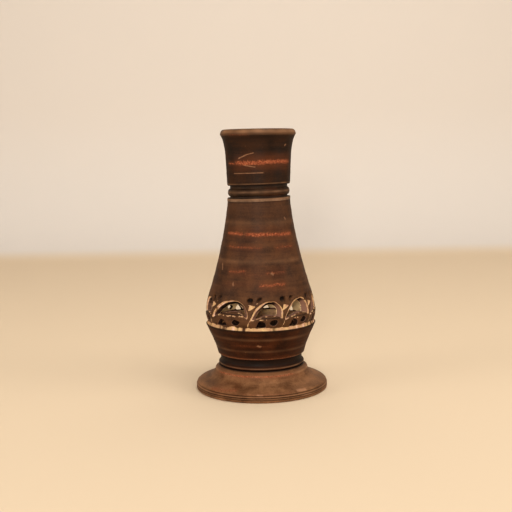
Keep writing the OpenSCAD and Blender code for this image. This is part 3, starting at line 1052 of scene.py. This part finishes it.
# %% Clay
def clay(name, dark, light, roughness=0.6):
    material = blank(name)
    tree = material.node_tree
    by = patterns(tree)
    colour, flecks = with_wear(tree, by, skin_colour(tree, by, dark, light))
    colour, dull = with_cuts(tree, by, colour)
    rough = add(tree, "ShaderNodeMapRange", Value=by["clouds"], From_Min=0.3, From_Max=0.7,
                To_Min=roughness - 0.08, To_Max=roughness + 0.08).outputs["Result"]
    dull = add(tree, "ShaderNodeMath", {"operation": "MAXIMUM"}, i0=dull, i1=flecks).outputs[0]
    rough = add(tree, "ShaderNodeMix", {"data_type": "FLOAT"}, Factor=dull, A=rough,
                B=0.85).outputs[0]
    relief = add(tree, "ShaderNodeMath", {"operation": "MULTIPLY_ADD"}, i0=by["grain"], i1=0.5,
                 i2=by["bands"]).outputs[0]
    bump = add(tree, "ShaderNodeBump", Strength=0.5, Distance=0.0002,
               Height=relief).outputs["Normal"]
    shader = add(tree, "ShaderNodeBsdfPrincipled", Base_Color=colour, Roughness=rough, IOR=1.5,
                 Specular_IOR_Level=0.18, Normal=bump)
    add(tree, "ShaderNodeOutputMaterial", Surface=shader.outputs["BSDF"])
    return material


FINISHES = {
    "foot": clay("Burnished clay, foot", "#583a23", "#8b6445", 0.6),
    # The waist and the bowl get darker tones as painted shade, where they sit under the bowl's
    # overhang and face down
    "waist": clay("Burnished clay, waist, darkened as painted shade", "#150802", "#281407"),
    "lower_bowl": clay("Burnished clay, bowl, darkened as painted shade", "#250e02", "#44220a"),
    "pierced_belt": clay("Carved and burnished clay", "#372213", "#5c3e27"),
    "upper_cone": clay("Burnished clay, cone", "#331f12", "#573924"),
    "collar": clay("Burnished clay, collar", "#5c4635", "#967a64"),
    "neck_ring": clay("Burnished clay, bead", "#26170c", "#452f1c"),
    "neck": clay("Burnished clay, neck", "#1b0e05", "#351e0c"),
}
for name, piece in PIECES.items():
    piece.data.materials.clear()
    piece.data.materials.append(FINISHES[name])
    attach(piece, "root")
    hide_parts(name)
    print(f"{piece.name} takes the place of {name}")

# %% [markdown]
# ## Table and backdrop
# The pot stands on a pale table that ends three hand spans behind it, in front of a paler wall. One
# sheet serves for both: a plane whose far edge is pulled up in a soft bend, so that no line shows.

# %% Sweep the backdrop
nothing_selected()
bpy.ops.mesh.primitive_plane_add(size=1)
floor = bpy.context.object
floor.name = "Table"
bpy.ops.object.mode_set(mode="EDIT")
bpy.ops.mesh.select_all(action="SELECT")
bpy.ops.transform.resize(value=(6, 3, 1), center_override=(0, 0, 0))
bpy.ops.transform.translate(value=(0, -0.9, 0))
bpy.ops.mesh.select_all(action="DESELECT")
sheet = bmesh.from_edit_mesh(floor.data)
for edge in sheet.edges:
    edge.select = all(point.co.y > 0.5 for point in edge.verts)
bmesh.update_edit_mesh(floor.data)
bend = 0.2
for step in range(12):
    angle = math.radians(90 * (step + 0.5) / 12)
    length = bend * math.pi / 2 / 12
    bpy.ops.mesh.extrude_edges_move(TRANSFORM_OT_translate={
        "value": (0, length * math.cos(angle), length * math.sin(angle))})
bpy.ops.mesh.extrude_edges_move(TRANSFORM_OT_translate={"value": (0, 0, 2)})
bpy.ops.object.mode_set(mode="OBJECT")
bpy.ops.object.shade_smooth()

# %% Table and wall colour
material = blank("Pale cloth and wall")
tree = material.node_tree
place = add(tree, "ShaderNodeTexCoord").outputs["Object"]
height = add(tree, "ShaderNodeSeparateXYZ", Vector=place).outputs["Z"]
up = add(tree, "ShaderNodeMapRange", {"interpolation_type": "SMOOTHSTEP"}, Value=height,
         From_Min=0.0, From_Max=0.012).outputs["Result"]
tint = add(tree, "ShaderNodeMix", {"data_type": "RGBA"}, Factor=up,
           i6=linear("#dfcbb0"), i7=linear("#dfd7cf")).outputs[2]
shader = add(tree, "ShaderNodeBsdfPrincipled", Base_Color=tint, Roughness=0.9)
add(tree, "ShaderNodeOutputMaterial", Surface=shader.outputs["BSDF"])
floor.data.materials.append(material)

# %% [markdown]
# ## Light
# A large soft lamp hangs high in front and to the right, as a window would. A small low one shines
# through the belt's windows onto the far side of the wall. Two weak ones fill in the sides, one
# lights the table behind, and the sky is warm and even.

# %% Lamps
def lamp(name, place, target, size, power, colour):
    nothing_selected()
    bpy.ops.object.light_add(type="AREA", location=place)
    light = bpy.context.object
    light.name = name
    light.data.size = size
    light.data.energy = power
    light.data.color = linear(colour)[:3]
    light.rotation_euler = (Vector(target) - Vector(place)).to_track_quat("-Z", "Y").to_euler()


lamp("Window", (0.2, -0.35, 0.98), (0, 0, 0.06), 0.6, 4.1, "#fffaf4")
lamp("Low front", (-0.1, -1.3, 0.28), (0, 0, 0.05), 0.16, 8.5, "#fffaf2")
lamp("Left fill", (-0.9, -0.35, 0.25), (0, 0, 0.06), 0.4, 2.7, "#fff6ec")
lamp("Right fill", (0.9, -0.3, 0.25), (0, 0, 0.06), 0.4, 2.6, "#fff4e6")
lamp("Back", (0.1, 0.5, 1.3), (0, 0.3, 0.0), 1.0, 3.5, "#fffefa")
world = bpy.data.worlds.new("Warm sky")
bpy.context.scene.world = world
world.use_nodes = True
world.node_tree.nodes["Background"].inputs["Color"].default_value = linear("#fff8ee")
world.node_tree.nodes["Background"].inputs["Strength"].default_value = 0.25
bpy.context.scene.view_settings.view_transform = "Standard"
bpy.context.scene.view_settings.look = "Medium High Contrast"

# %% [markdown]
# ## Camera
# The camera stands half a metre in front of the pot, just under the height of its lip, and looks
# down by not quite seven degrees. It is also rolled by one degree, as a hand-held camera is.

# %% Camera
down = math.radians(6.81)
roll = math.radians(-0.95)
side = math.radians(-0.25)
forward = Vector((math.sin(side) * math.cos(down), math.cos(side) * math.cos(down),
                  -math.sin(down)))
right = Vector((math.cos(side), -math.sin(side), 0))
up = right.cross(forward)
turned_right = right * math.cos(roll) + up * math.sin(roll)
turned_up = up * math.cos(roll) - right * math.sin(roll)
camera_data = bpy.data.cameras.new("Camera")
camera = bpy.data.objects.new("Camera", camera_data)
bpy.context.scene.collection.objects.link(camera)
camera.matrix_world = Matrix.Translation((0, -0.509, 0.1379)) @ Matrix(
    (turned_right, turned_up, -forward)).transposed().to_4x4()
camera_data.sensor_width = 36
camera_data.lens = 62.05
camera_data.clip_start = 0.01
bpy.context.scene.camera = camera

# %% [markdown]
# ## The size
# The finished pot has to fill the same box as the frame's solids.

# %% Clear the selection
nothing_selected()
